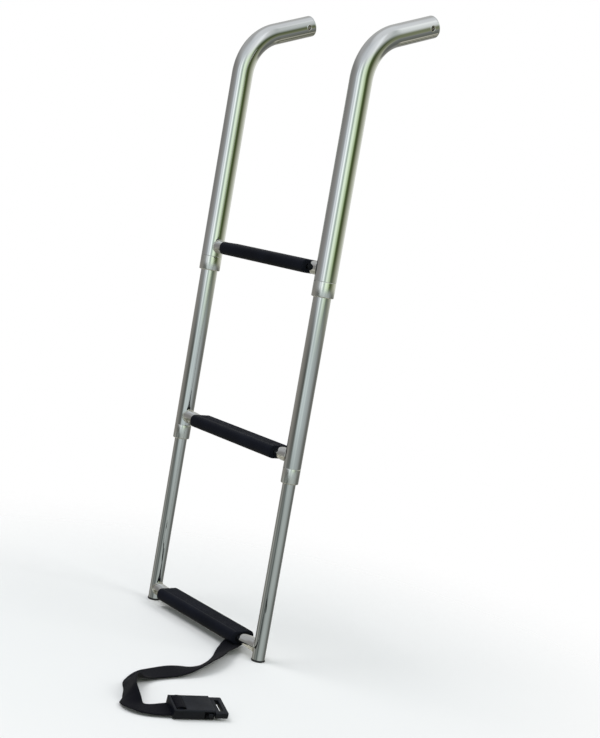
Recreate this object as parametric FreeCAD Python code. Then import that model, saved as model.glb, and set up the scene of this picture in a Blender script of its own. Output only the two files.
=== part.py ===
import FreeCAD, Part
import math
import os

from FreeCAD import Vector

# Three-step telescoping boarding ladder, fully extended. Millimetres, +Z up, rungs along X.
# The sub-parts are drawn in a ladder frame: rail axes on y = 0, feet on z = 0, arms towards +Y.
# They are then moved so that the row's origin is the middle of the hinge bore's axis.

# Rails, from the widest tube to the narrowest
RAIL_SPACING = 280.0
WALL = 1.2
UPPER_R = 15.9
MID_R = 12.7
LOWER_R = 9.5

# Upper rail bend and arm
BEND_START_Z = 830.0
BEND_RADIUS = 76.0
ARM_RISE_DEG = 22.3
ARM_LENGTH = 71.0
TIP_CAP_THICKNESS = 2.5
TIP_CAP_RIM_R = 1.5
TIP_CAP_SPIGOT = 5.0
HINGE_FROM_TIP = 14.0
HINGE_BORE_R = 3.2
HINGE_BUSH_R = 4.8
HINGE_BUSH_LENGTH = 33.0

# Collars, guide bushes and slide stops
COLLAR_HEIGHT = 22.0
COLLAR_LIP = 2.0
COLLAR_EDGE_R = 0.8
UPPER_COLLAR_Z = 528.0
MID_COLLAR_Z = 261.5
BUSH_LENGTH = 45.0
SLIDE_CLEARANCE = 0.3
STOP_GAP = 0.4
STOP_SKIRT = 6.6
STOP_TOP = 3.0
STOP_SPIGOT = 12.0
STOP_EDGE_R = 1.0
STOP_SPIGOT_GAP = 0.1
PLUG_FIT_GAP = 0.05
RIVET_R = 1.6
RIVET_HEAD_R = 3.2
RIVET_HEAD_HEIGHT = 1.4
RIVET_SEAT = 0.1

# Rungs and tread covers
RUNG_R = 9.5
RUNG_WALL = 1.2
RUNG_INSET = 0.5
RUNG_ROUND_PAST_RAIL = 1.0
RUNG_FLAT_TUCK = 2.0
FLAT_HALF_DEPTH = 12.0
FLAT_HALF_HEIGHT = 6.5
UPPER_RUNG_Z = 566.0
MID_RUNG_Z = 298.5
LOWER_RUNG_Z = 19.0
COVER_DEPTH = 40.0
COVER_HEIGHT = 19.0
COVER_CORNER_R = 8.0
COVER_EDGE_R = 1.2
COVER_CLEARANCE = 0.25
COVER_ENDS = (-96.0, 108.0)
LOWER_COVER_ENDS = (-106.0, 97.0)
WELD_SIZE = 1.5
WELD_CUT_REACH = 6.0
CUT_HALF_HEIGHT = 40.0
CUT_LENGTH = 60.0

# Feet
FOOT_FLANGE = 2.2
FOOT_SPIGOT = 12.0
FOOT_OVERHANG = 0.7
FOOT_EDGE_R = 0.8

# Strap: webbing looped round the lower rung, lying on the floor as far as the buckle
STRAP_WIDTH = 28.0
STRAP_THICKNESS = 1.8
STRAP_X = 83.0
LOOP_CLEARANCE = 0.15
POCKET_CLEARANCE = 0.6
POCKET_EXTRA_DEPTH = 0.2
MOUTH_FRONT_Y = -16.0
MOUTH_DEPTH = 20.0
MOUTH_HEIGHT = 8.0
FLOOR_Z = 1.2
ROUTE = [
    (83, -3, 8.9), (101, -30, 4.2), (124, -55, FLOOR_Z), (146, -83, FLOOR_Z), (161, -114, FLOOR_Z),
    (168, -147, FLOOR_Z), (165, -180, FLOOR_Z), (168, -212, FLOOR_Z), (181, -240, FLOOR_Z),
    (203, -263, FLOOR_Z), (229, -281, FLOOR_Z), (257, -286, FLOOR_Z), (277, -271, FLOOR_Z),
    (284, -247, 3.2),
]
ARC_SHARE = 0.45

# Side-release buckle, in its own frame: u along it from the strap, v across, w up
BUCKLE_TILT_DEG = 10.0
BUCKLE_LIFT = 0.2
SOCKET_LENGTH = 54.0
SOCKET_WIDTH = 37.0
SOCKET_HEIGHT = 13.0
SOCKET_EDGE_R = 2.0
CAVITY_START = 22.0
CAVITY_WIDTH = 30.0
CAVITY_LOW = 2.5
CAVITY_HIGH = 10.5
WEB_SLOT_LENGTH = 4.4
WEB_SLOT_WIDTH = 30.0
WEB_SLOT_STARTS = [3.6, 12.4]
WINDOW_START = 41.0
WINDOW_END = 52.4
PLUG_START = 54.5
PLUG_END = 72.0
PLUG_WIDTH = 39.0
PLUG_LOW = 3.0
PLUG_HIGH = 10.0
PLUG_CORNER_R = 2.0
PLUG_SLOT_START = 61.0
PLUG_SLOT_LENGTH = 5.4
PLUG_SLOT_WIDTH = 26.0
TONGUE_START = 28.0
TONGUE_LOW = 3.6
TONGUE_HIGH = 9.4
TONGUE_HALF_WIDTH = 4.0
CROSSBAR_LENGTH = 5.0
CROSSBAR_HALF_WIDTH = 7.7
PRONG_OUTLINE = [
    (30.0, 8.0), (30.0, 11.0), (38.0, 13.2), (43.0, 14.4), (44.0, 17.0), (50.4, 21.6),
    (50.4, 14.6), (46.0, 12.5), (38.0, 10.2), (33.0, 8.0),
]
PRONG_HINGE = (31.5, 9.5)

UP = Vector(0, 0, 1)
ALONG_X = Vector(1, 0, 0)
ALONG_Y = Vector(0, 1, 0)
SIDES = [("left", -1), ("right", 1)]

arm_rise = math.radians(ARM_RISE_DEG)
bend_angle_deg = 90.0 - ARM_RISE_DEG
bend_centre = Vector(0, BEND_RADIUS, BEND_START_Z)
arm_direction = Vector(0, math.cos(arm_rise), math.sin(arm_rise))
arm_start = Vector(
    0,
    BEND_RADIUS * (1 - math.sin(arm_rise)),
    BEND_START_Z + BEND_RADIUS * math.cos(arm_rise),
)
tip = arm_start + arm_direction * ARM_LENGTH
hinge = tip - arm_direction * HINGE_FROM_TIP


def side_x(sign):
    return sign * RAIL_SPACING / 2


def cylinder_z(radius, low, high, x=0.0):
    return Part.makeCylinder(radius, high - low, Vector(x, 0, low), UP)


def tube_z(outer, inner, low, high, x):
    return cylinder_z(outer, low, high, x).cut(cylinder_z(inner, low - 1, high + 1, x))


def edges_along(shape, direction):
    """The straight edges of a shape that run along a direction."""
    found = []
    for edge in shape.Edges:
        if isinstance(edge.Curve, Part.Line) and abs(edge.Curve.Direction.dot(direction)) > 0.999:
            found.append(edge)
    return found


def circle_edges_at(shape, z):
    """The horizontal circular edges of a shape at one height."""
    return [e for e in shape.Edges if isinstance(e.Curve, Part.Circle) and abs(e.Curve.Center.z - z) < 0.01]


def bent_rod(radius, low, arm_length):
    """A solid rod that follows the upper rail: up, round the bend and out along the arm."""
    upright = Part.makeCylinder(radius, BEND_START_Z - low, Vector(0, 0, low), UP)
    disc = Part.Face(Part.Wire(Part.makeCircle(radius, Vector(0, 0, BEND_START_Z), UP)))
    bend = disc.revolve(bend_centre, Vector(-1, 0, 0), bend_angle_deg)
    arm = Part.makeCylinder(radius, arm_length, arm_start, arm_direction)
    return upright.fuse([bend, arm]).removeSplitter()


def hinge_cylinder(radius, length):
    return Part.makeCylinder(radius, length, hinge - ALONG_X * (length / 2), ALONG_X)


def rivet_hole(radius, x, z):
    return Part.makeCylinder(radius, UPPER_R + 4, Vector(x, 0, z), ALONG_Y)


def upper_rail(sign):
    low = UPPER_COLLAR_Z + COLLAR_HEIGHT
    length = ARM_LENGTH - TIP_CAP_THICKNESS
    rail = bent_rod(UPPER_R, low, length).cut(bent_rod(UPPER_R - WALL, low, length))
    rail = rail.cut(hinge_cylinder(HINGE_BUSH_R, CUT_LENGTH))
    rail.translate(Vector(side_x(sign), 0, 0))
    return rail


def tip_cap(sign):
    seat = tip - arm_direction * TIP_CAP_THICKNESS
    flange = Part.makeCylinder(UPPER_R, TIP_CAP_THICKNESS, seat, arm_direction)
    circles = [e for e in flange.Edges if isinstance(e.Curve, Part.Circle)]
    rim = [e for e in circles if (e.Curve.Center - tip).Length < 0.01]
    flange = flange.makeFillet(TIP_CAP_RIM_R, rim)
    spigot_base = seat - arm_direction * TIP_CAP_SPIGOT
    spigot_r = UPPER_R - WALL - PLUG_FIT_GAP
    spigot = Part.makeCylinder(spigot_r, TIP_CAP_SPIGOT, spigot_base, arm_direction)
    cap = flange.fuse(spigot).removeSplitter()
    cap.translate(Vector(side_x(sign), 0, 0))
    return cap


def hinge_bush(sign):
    bush = hinge_cylinder(HINGE_BUSH_R, HINGE_BUSH_LENGTH)
    bush = bush.cut(hinge_cylinder(HINGE_BORE_R, CUT_LENGTH))
    bush.translate(Vector(side_x(sign), 0, 0))
    return bush


def straight_rail(radius, low, high, sign):
    return tube_z(radius, radius - WALL, low, high, side_x(sign))


def collar(tube_radius, slider_radius, low, sign):
    """A ring that ends a tube flush with its wall, whose lip carries the guide bush."""
    x = side_x(sign)
    high = low + COLLAR_HEIGHT
    body = cylinder_z(tube_radius, low, high, x)
    body = body.makeFillet(COLLAR_EDGE_R, circle_edges_at(body, low) + circle_edges_at(body, high))
    body = body.cut(cylinder_z(tube_radius - WALL, low + COLLAR_LIP, high + 1, x))
    body = body.cut(cylinder_z(slider_radius + 2 * SLIDE_CLEARANCE, low - 1, high, x))
    return body.cut(rivet_hole(RIVET_R, x, low + COLLAR_HEIGHT / 2))


def guide_bush(tube_radius, slider_radius, low, sign):
    bore = slider_radius + SLIDE_CLEARANCE
    return tube_z(tube_radius - WALL, bore, low, low + BUSH_LENGTH, side_x(sign))


def slide_stop(outer_tube_radius, slider_radius, skirt_low, sign):
    """A cap on a sliding tube's top: its skirt stops on the guide bush, its spigot sits in the tube."""
    x = side_x(sign)
    tube_top = skirt_low + STOP_SKIRT
    cap_top = tube_top + STOP_TOP
    body = cylinder_z(outer_tube_radius - WALL - SLIDE_CLEARANCE, skirt_low, cap_top, x)
    body = body.makeFillet(STOP_EDGE_R, circle_edges_at(body, cap_top))
    body = body.cut(cylinder_z(slider_radius, skirt_low - 1, tube_top, x))
    spigot_r = slider_radius - WALL - STOP_SPIGOT_GAP
    return body.fuse(cylinder_z(spigot_r, tube_top - STOP_SPIGOT, tube_top, x))


def rivet(tube_radius, x, z):
    """A dome rivet through a collar, on the side that faces the hull."""
    face_y = tube_radius + RIVET_SEAT
    shank_low = tube_radius - WALL
    shank = Part.makeCylinder(RIVET_R, face_y - shank_low, Vector(x, shank_low, z), ALONG_Y)
    dome_r = (RIVET_HEAD_R ** 2 + RIVET_HEAD_HEIGHT ** 2) / (2 * RIVET_HEAD_HEIGHT)
    dome = Part.makeSphere(dome_r, Vector(x, face_y + RIVET_HEAD_HEIGHT - dome_r, z))
    slab_corner = Vector(x - 2 * dome_r, face_y, z - 2 * dome_r)
    slab = Part.makeBox(4 * dome_r, 2 * RIVET_HEAD_HEIGHT, 4 * dome_r, slab_corner)
    return shank.fuse(dome.common(slab))


def rivet_pair(tube_radius, collar_z):
    z = collar_z + COLLAR_HEIGHT / 2
    return Part.makeCompound([rivet(tube_radius, side_x(sign), z) for _, sign in SIDES])


def oval_wire(x, half_depth, half_height, z):
    """A closed smooth oval across X, started at the same place on every section."""
    count = 24
    points = []
    for i in range(count):
        turn = 2 * math.pi * i / count
        points.append(Vector(x, half_depth * math.cos(turn), z + half_height * math.sin(turn)))
    curve = Part.BSplineCurve()
    curve.interpolate(Points=points, PeriodicFlag=True)
    return Part.Wire(curve.toShape())


def rung_solid(rail_radius, z, cover_left, cover_right, shrink):
    """A rung's outline: round where it meets the rails, flattened from cover end to cover end."""
    end_depth = min(RUNG_R, rail_radius - RUNG_INSET) - shrink
    end_height = RUNG_R - shrink
    flat_depth = FLAT_HALF_DEPTH - shrink
    flat_height = FLAT_HALF_HEIGHT - shrink
    reach = RAIL_SPACING / 2
    shoulder = reach - rail_radius + RUNG_ROUND_PAST_RAIL
    wires = [
        oval_wire(-reach, end_depth, end_height, z),
        oval_wire(-shoulder, end_depth, end_height, z),
        oval_wire(cover_left + RUNG_FLAT_TUCK, flat_depth, flat_height, z),
        oval_wire(cover_right - RUNG_FLAT_TUCK, flat_depth, flat_height, z),
        oval_wire(shoulder, end_depth, end_height, z),
        oval_wire(reach, end_depth, end_height, z),
    ]
    return Part.makeLoft(wires, True, True)


def rail_cutter(radius, z, x):
    return cylinder_z(radius, z - CUT_HALF_HEIGHT, z + CUT_HALF_HEIGHT, x)


def rung_tube(rail_radius, z, cover_left, cover_right):
    tube = rung_solid(rail_radius, z, cover_left, cover_right, 0.0)
    tube = tube.cut(rung_solid(rail_radius, z, cover_left, cover_right, RUNG_WALL))
    for _, sign in SIDES:
        tube = tube.cut(rail_cutter(rail_radius, z, side_x(sign)))
    return tube


def flat_rod(x_low, x_high, grow, z):
    """The rung's flattened section, grown on every side, between two places along X."""
    face = Part.Face(oval_wire(x_low, FLAT_HALF_DEPTH + grow, FLAT_HALF_HEIGHT + grow, z))
    return face.extrude(Vector(x_high - x_low, 0, 0))


def tread_cover(z, left, right):
    corner = Vector(left, -COVER_DEPTH / 2, z - COVER_HEIGHT / 2)
    cover = Part.makeBox(right - left, COVER_DEPTH, COVER_HEIGHT, corner)
    cover = cover.makeFillet(COVER_CORNER_R, edges_along(cover, ALONG_X))
    ends = [e for e in cover.Edges if e.BoundBox.XLength < 0.01]
    cover = cover.makeFillet(COVER_EDGE_R, ends)
    return cover.cut(flat_rod(left - 1, right + 1, COVER_CLEARANCE, z))


def lower_tread_cover():
    """The lower cover has a pocket for the strap's loop, with a mouth below it."""
    cover = tread_cover(LOWER_RUNG_Z, *LOWER_COVER_ENDS)
    half = STRAP_WIDTH / 2 + POCKET_CLEARANCE
    depth = LOOP_CLEARANCE + STRAP_THICKNESS + POCKET_EXTRA_DEPTH
    cover = cover.cut(flat_rod(STRAP_X - half, STRAP_X + half, depth, LOWER_RUNG_Z))
    underside = LOWER_RUNG_Z - COVER_HEIGHT / 2
    mouth_corner = Vector(STRAP_X - half, MOUTH_FRONT_Y, underside - 1)
    return cover.cut(Part.makeBox(2 * half, MOUTH_DEPTH, MOUTH_HEIGHT + 1, mouth_corner))


def weld_pair(rail_radius, z):
    """The two weld beads that run round a rung where it meets its rails."""
    end_depth = min(RUNG_R, rail_radius - RUNG_INSET)
    outer_depth = end_depth + WELD_SIZE
    outer_height = RUNG_R + WELD_SIZE
    beads = []
    for _, sign in SIDES:
        x = side_x(sign)
        inner_x = x - sign * (rail_radius + WELD_CUT_REACH)
        reach = Vector(x - inner_x, 0, 0)
        outside = Part.Face(oval_wire(inner_x, outer_depth, outer_height, z)).extrude(reach)
        inside = Part.Face(oval_wire(inner_x, end_depth, RUNG_R, z)).extrude(reach)
        bead = rail_cutter(rail_radius + WELD_SIZE, z, x).common(outside)
        beads.append(bead.cut(inside).cut(rail_cutter(rail_radius, z, x)))
    return Part.makeCompound([solid for bead in beads for solid in bead.Solids])


def foot_cap(sign):
    x = side_x(sign)
    flange = cylinder_z(LOWER_R + FOOT_OVERHANG, 0, FOOT_FLANGE, x)
    flange = flange.makeFillet(FOOT_EDGE_R, circle_edges_at(flange, 0))
    spigot_r = LOWER_R - WALL - PLUG_FIT_GAP
    return flange.fuse(cylinder_z(spigot_r, FOOT_FLANGE, FOOT_FLANGE + FOOT_SPIGOT, x))


def strap_loop():
    """The strap's stitched loop round the flattened rung."""
    low = STRAP_X - STRAP_WIDTH / 2
    high = STRAP_X + STRAP_WIDTH / 2
    outside = flat_rod(low, high, LOOP_CLEARANCE + STRAP_THICKNESS, LOWER_RUNG_Z)
    return outside.cut(flat_rod(low - 1, high + 1, LOOP_CLEARANCE, LOWER_RUNG_Z))


def rounded_path(points):
    """Straight runs joined by tangent arcs, each as large as its two runs allow."""
    edges = []
    radii = []
    start = points[0]
    for before, corner, after in zip(points, points[1:], points[2:]):
        inward = (before - corner).normalize()
        outward = (after - corner).normalize()
        shorter = min((before - corner).Length, (after - corner).Length)
        half_turn = (math.pi - inward.getAngle(outward)) / 2
        setback = ARC_SHARE * shorter
        radius = setback / math.tan(half_turn)
        radii.append(radius)
        middle_distance = radius / math.cos(half_turn) - radius
        bisector = (inward + outward).normalize()
        arc_start = corner + inward * setback
        arc_middle = corner + bisector * middle_distance
        arc_end = corner + outward * setback
        edges.append(Part.LineSegment(start, arc_start).toShape())
        edges.append(Part.Arc(arc_start, arc_middle, arc_end).toShape())
        start = arc_end
    edges.append(Part.LineSegment(start, points[-1]).toShape())
    return Part.Wire(edges), radii


def strap_webbing():
    """The strap's free length, laid flat, swept along its route with its width kept level."""
    points = [Vector(*place) for place in ROUTE]
    path, radii = rounded_path(points)
    heading = (points[1] - points[0]).normalize()
    across = UP.cross(heading).normalize() * (STRAP_WIDTH / 2)
    thick = heading.cross(across).normalize() * (STRAP_THICKNESS / 2)
    corners = [points[0] + across + thick, points[0] - across + thick]
    corners += [points[0] - across - thick, points[0] + across - thick]
    profile = Part.makePolygon(corners + corners[:1])
    sweep = Part.BRepOffsetAPI.MakePipeShell(path)
    sweep.setBiNormalMode(UP)
    sweep.add(profile)
    sweep.build()
    sweep.makeSolid()
    webbing = sweep.shape()
    print("strap radii:", " ".join("%.0f" % r for r in radii))
    expected = path.Length * STRAP_WIDTH * STRAP_THICKNESS
    print("strap length %.1f, volume %.0f of %.0f" % (path.Length, webbing.Volume, expected))
    return webbing


def buckle_placement():
    """Carries the buckle's own frame to the end of the strap, tilted about its length."""
    last = Vector(*ROUTE[-1])
    heading = last - Vector(*ROUTE[-2])
    heading_deg = math.degrees(math.atan2(heading.y, heading.x))
    turned = FreeCAD.Rotation(UP, heading_deg).multiply(FreeCAD.Rotation(ALONG_X, BUCKLE_TILT_DEG))
    low_edge = math.sin(math.radians(BUCKLE_TILT_DEG)) * PLUG_WIDTH / 2
    base = Vector(last.x, last.y, BUCKLE_LIFT + low_edge)
    return FreeCAD.Placement(base, turned)


def uvw_box(u0, u1, v0, v1, w0, w1):
    return Part.makeBox(u1 - u0, v1 - v0, w1 - w0, Vector(u0, v0, w0))


def buckle_socket():
    half = SOCKET_WIDTH / 2
    body = uvw_box(0, SOCKET_LENGTH, -half, half, 0, SOCKET_HEIGHT)
    body = body.makeFillet(SOCKET_EDGE_R, edges_along(body, ALONG_X) + edges_along(body, UP))
    cavity = CAVITY_WIDTH / 2
    body = body.cut(uvw_box(CAVITY_START, SOCKET_LENGTH + 1, -cavity, cavity, CAVITY_LOW, CAVITY_HIGH))
    body = body.cut(uvw_box(WINDOW_START, WINDOW_END, -half - 1, half + 1, CAVITY_LOW, CAVITY_HIGH))
    for start in WEB_SLOT_STARTS:
        slot_half = WEB_SLOT_WIDTH / 2
        end = start + WEB_SLOT_LENGTH
        body = body.cut(uvw_box(start, end, -slot_half, slot_half, -1, SOCKET_HEIGHT + 1))
    return body


def buckle_plug():
    half = PLUG_WIDTH / 2
    plate = uvw_box(PLUG_START, PLUG_END, -half, half, PLUG_LOW, PLUG_HIGH)
    plate = plate.makeFillet(PLUG_CORNER_R, edges_along(plate, UP))
    slot_half = PLUG_SLOT_WIDTH / 2
    slot_end = PLUG_SLOT_START + PLUG_SLOT_LENGTH
    plate = plate.cut(uvw_box(PLUG_SLOT_START, slot_end, -slot_half, slot_half, 0, SOCKET_HEIGHT))
    low, high = TONGUE_LOW, TONGUE_HIGH
    half = TONGUE_HALF_WIDTH
    tongue = uvw_box(TONGUE_START, PLUG_START, -half, half, low, high)
    half = CROSSBAR_HALF_WIDTH
    crossbar = uvw_box(TONGUE_START, TONGUE_START + CROSSBAR_LENGTH, -half, half, low, high)
    return plate.fuse([tongue, crossbar]).removeSplitter()


def buckle_prong(sign):
    corners = [Vector(u, sign * v, TONGUE_LOW) for u, v in PRONG_OUTLINE]
    face = Part.Face(Part.makePolygon(corners + corners[:1]))
    return face.extrude(Vector(0, 0, TONGUE_HIGH - TONGUE_LOW))


def place(shape, placement):
    return shape.transformGeometry(placement.toMatrix())


def all_nodes():
    upper_bush_low = UPPER_COLLAR_Z + COLLAR_LIP
    mid_bush_low = MID_COLLAR_Z + COLLAR_LIP
    mid_skirt_low = upper_bush_low + BUSH_LENGTH + STOP_GAP
    lower_skirt_low = mid_bush_low + BUSH_LENGTH + STOP_GAP
    mid_low = MID_COLLAR_Z + COLLAR_HEIGHT
    mid_high = mid_skirt_low + STOP_SKIRT
    lower_high = lower_skirt_low + STOP_SKIRT
    nodes = {}
    for side, sign in SIDES:
        nodes["upper_rail_" + side] = upper_rail(sign)
        nodes["tip_cap_" + side] = tip_cap(sign)
        nodes["hinge_bush_" + side] = hinge_bush(sign)
        nodes["upper_collar_" + side] = collar(UPPER_R, MID_R, UPPER_COLLAR_Z, sign)
        nodes["upper_guide_bush_" + side] = guide_bush(UPPER_R, MID_R, upper_bush_low, sign)
        nodes["mid_rail_" + side] = straight_rail(MID_R, mid_low, mid_high, sign)
        nodes["mid_slide_stop_" + side] = slide_stop(UPPER_R, MID_R, mid_skirt_low, sign)
        nodes["mid_collar_" + side] = collar(MID_R, LOWER_R, MID_COLLAR_Z, sign)
        nodes["mid_guide_bush_" + side] = guide_bush(MID_R, LOWER_R, mid_bush_low, sign)
        nodes["lower_rail_" + side] = straight_rail(LOWER_R, FOOT_FLANGE, lower_high, sign)
        nodes["lower_slide_stop_" + side] = slide_stop(MID_R, LOWER_R, lower_skirt_low, sign)
        nodes["foot_cap_" + side] = foot_cap(sign)
    nodes["upper_collar_rivets"] = rivet_pair(UPPER_R, UPPER_COLLAR_Z)
    nodes["mid_collar_rivets"] = rivet_pair(MID_R, MID_COLLAR_Z)
    nodes["upper_rung_tube"] = rung_tube(UPPER_R, UPPER_RUNG_Z, *COVER_ENDS)
    nodes["upper_rung_welds"] = weld_pair(UPPER_R, UPPER_RUNG_Z)
    nodes["upper_tread_cover"] = tread_cover(UPPER_RUNG_Z, *COVER_ENDS)
    nodes["mid_rung_tube"] = rung_tube(MID_R, MID_RUNG_Z, *COVER_ENDS)
    nodes["mid_rung_welds"] = weld_pair(MID_R, MID_RUNG_Z)
    nodes["mid_tread_cover"] = tread_cover(MID_RUNG_Z, *COVER_ENDS)
    nodes["lower_rung_tube"] = rung_tube(LOWER_R, LOWER_RUNG_Z, *LOWER_COVER_ENDS)
    nodes["lower_rung_welds"] = weld_pair(LOWER_R, LOWER_RUNG_Z)
    nodes["lower_tread_cover"] = lower_tread_cover()
    nodes["strap_loop"] = strap_loop()
    nodes["strap_webbing"] = strap_webbing()
    buckle = buckle_placement()
    nodes["buckle_socket"] = place(buckle_socket(), buckle)
    nodes["buckle_plug"] = place(buckle_plug(), buckle)
    nodes["buckle_prong_left"] = place(buckle_prong(1), buckle)
    nodes["buckle_prong_right"] = place(buckle_prong(-1), buckle)
    to_row = Vector(0, -hinge.y, -hinge.z)
    for shape in nodes.values():
        shape.translate(to_row)
    report_buckle(buckle, to_row)
    return nodes


def report_buckle(buckle, to_row):
    """Print where the prongs hinge and the plug's slot lies, in the row's frame."""
    middle_w = (TONGUE_LOW + TONGUE_HIGH) / 2
    for side, sign in (("left", 1), ("right", -1)):
        pivot = buckle.multVec(Vector(PRONG_HINGE[0], sign * PRONG_HINGE[1], middle_w)) + to_row
        print("prong_%s hinge %.2f %.2f %.2f" % (side, pivot.x, pivot.y, pivot.z))
    normal = buckle.Rotation.multVec(UP)
    print("buckle up %.5f %.5f %.5f" % (normal.x, normal.y, normal.z))
    slot_middle = PLUG_SLOT_START + PLUG_SLOT_LENGTH / 2
    slot = buckle.multVec(Vector(slot_middle, 0, (PLUG_LOW + PLUG_HIGH) / 2)) + to_row
    print("plug slot centre %.2f %.2f %.2f" % (slot.x, slot.y, slot.z))
    print("feet at z %.3f, rails at y %.3f" % (to_row.z, to_row.y))


os.makedirs("parts", exist_ok=True)
for name, shape in all_nodes().items():
    for solid in shape.Solids:
        if not solid.isValid() or solid.Volume <= 0:
            print("BAD SOLID in", name)
    print("%-22s solids %d  volume %.0f" % (name, len(shape.Solids), shape.Volume))
    shape.exportStep("parts/%s.step" % name)
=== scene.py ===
"""Looks for the telescoping boarding ladder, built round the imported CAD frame. Metres, +Z up."""

import math

import bmesh
import bpy
from mathutils import Matrix, Vector


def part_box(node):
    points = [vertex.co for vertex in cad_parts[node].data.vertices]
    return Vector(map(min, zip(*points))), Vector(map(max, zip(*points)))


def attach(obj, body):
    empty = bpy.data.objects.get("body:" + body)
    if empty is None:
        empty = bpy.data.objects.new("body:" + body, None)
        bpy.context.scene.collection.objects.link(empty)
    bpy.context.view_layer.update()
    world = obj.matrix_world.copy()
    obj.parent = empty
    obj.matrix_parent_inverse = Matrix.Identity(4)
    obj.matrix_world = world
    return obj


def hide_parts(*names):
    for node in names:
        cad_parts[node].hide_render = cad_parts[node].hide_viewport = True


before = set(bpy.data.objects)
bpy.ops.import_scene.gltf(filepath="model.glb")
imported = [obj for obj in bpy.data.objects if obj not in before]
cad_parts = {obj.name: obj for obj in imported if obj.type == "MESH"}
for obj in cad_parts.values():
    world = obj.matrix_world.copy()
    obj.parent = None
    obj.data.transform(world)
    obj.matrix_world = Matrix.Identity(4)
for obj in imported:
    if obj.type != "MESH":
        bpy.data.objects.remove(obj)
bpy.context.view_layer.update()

MM = 0.001
SIDES = ("left", "right")
UP = Vector((0, 0, 1))
ALONG_X = Vector((1, 0, 0))
ALONG_Y = Vector((0, 1, 0))

# Places and sizes read from the frame
UPPER_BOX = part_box("upper_rail_left")
MID_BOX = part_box("mid_rail_left")
LOWER_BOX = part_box("lower_rail_left")
FLOOR_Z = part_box("foot_cap_left")[0].z
RAIL_X = (LOWER_BOX[0].x + LOWER_BOX[1].x) / -2
RAIL_Y = (LOWER_BOX[0].y + LOWER_BOX[1].y) / 2
UPPER_R = (UPPER_BOX[1].x - UPPER_BOX[0].x) / 2
MID_R = (MID_BOX[1].x - MID_BOX[0].x) / 2
LOWER_R = (LOWER_BOX[1].x - LOWER_BOX[0].x) / 2

# Sizes that the frame's boxes can't give, as the CAD source has them
WALL = 1.2 * MM
TUBE_EDGE = 0.45 * MM
BEND_START = FLOOR_Z + 830 * MM
BEND_RADIUS = 76 * MM
ARM_RISE = math.radians(22.3)
ARM_LENGTH = 71 * MM
CAP_LENGTH = 2.5 * MM
HINGE_FROM_TIP = 14 * MM
HINGE_BUSH_R = 4.8 * MM
HINGE_BORE_R = 3.2 * MM
HINGE_BUSH_HALF = 16.5 * MM
RUNG_R = 9.5 * MM
FLAT_HALF_DEPTH = 12.0 * MM
FLAT_HALF_HEIGHT = 6.5 * MM

# The strap: its route as part.py has it, lifted where the webbing leans on its edge, and with
# the tenth and eleventh points, in the turn, about 6 mm aside
STRAP_WIDTH = 28 * MM
STRAP_THICKNESS = 1.8 * MM
STRAP_ROUTE_MM = [
    (83, -3, 8.9), (101, -30, 7), (124, -55, 7), (146, -83, 8), (161, -114, 8), (168, -147, 7),
    (165, -180, 5), (168, -212, 5), (181, -240, 6), (207, -258, 9), (233, -276, 11),
    (257, -286, 6), (277, -271, 4), (284, -247, 6.5),
]

# The buckle's own frame: u along it from the strap, v across, w up, as part.py has it
BUCKLE_BASE_MM = (284, -247)
BUCKLE_HEADING = math.atan2(24, 7)
BUCKLE_TILT = math.radians(10)
BUCKLE_LIFT = 0.2 * MM
PLUG_HALF_WIDTH = 19.5 * MM
# The webbing over the adjuster's bar, as (u, w)
ADJUSTER_ROUTE_MM = [
    (4.4, 4.0), (4.4, 11.5), (5.2, 13.6), (7.2, 14.6), (10.2, 14.9), (13.2, 14.6), (15.2, 13.6),
    (16.0, 11.5), (16.0, 4.0),
]
ADJUSTER_HALF_THICKNESS = 0.75 * MM


# ---------------------------------------------------------------- camera, floor and light

CAMERA_AZIMUTH = 0.883
CAMERA_ELEVATION = 0.107
CAMERA_ROLL = 0.175
CAMERA_LENS = 68.3
CAMERA_DISTANCE = 2.0636
CAMERA_RIGHT = 0.0680
CAMERA_UP = -0.0502
AIM_HEIGHT = 0.450


def add_camera():
    forward = Vector((
        -math.sin(CAMERA_AZIMUTH) * math.cos(CAMERA_ELEVATION),
        math.cos(CAMERA_AZIMUTH) * math.cos(CAMERA_ELEVATION),
        -math.sin(CAMERA_ELEVATION),
    ))
    level_right = forward.cross(UP).normalized()
    level_up = level_right.cross(forward)
    right = level_right * math.cos(CAMERA_ROLL) + level_up * math.sin(CAMERA_ROLL)
    up = level_up * math.cos(CAMERA_ROLL) - level_right * math.sin(CAMERA_ROLL)
    aim = Vector((0, RAIL_Y, FLOOR_Z + AIM_HEIGHT))
    place = aim - forward * CAMERA_DISTANCE + right * CAMERA_RIGHT + up * CAMERA_UP
    data = bpy.data.cameras.new("camera")
    data.lens = CAMERA_LENS
    data.clip_start = 0.05
    data.clip_end = 60
    camera = bpy.data.objects.new("camera", data)
    turn = Matrix((right, up, -forward)).transposed().to_4x4()
    camera.matrix_world = Matrix.Translation(place) @ turn
    bpy.context.scene.collection.objects.link(camera)
    bpy.context.scene.camera = camera
    bpy.context.scene.view_settings.view_transform = "Standard"


def nodes_of(material):
    material.use_nodes = True
    tree = material.node_tree
    tree.nodes.clear()
    return tree.nodes, tree.links


def new_object(name, mesh, material=None):
    piece = bpy.data.objects.new(name, mesh)
    bpy.context.scene.collection.objects.link(piece)
    if material:
        mesh.materials.append(material)
    return piece


def emission_material(name, colour, strength):
    material = bpy.data.materials.new(name)
    nodes, links = nodes_of(material)
    emit = nodes.new("ShaderNodeEmission")
    emit.inputs["Color"].default_value = (*colour, 1)
    emit.inputs["Strength"].default_value = strength
    out = nodes.new("ShaderNodeOutputMaterial")
    links.new(emit.outputs[0], out.inputs["Surface"])
    return material


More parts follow.
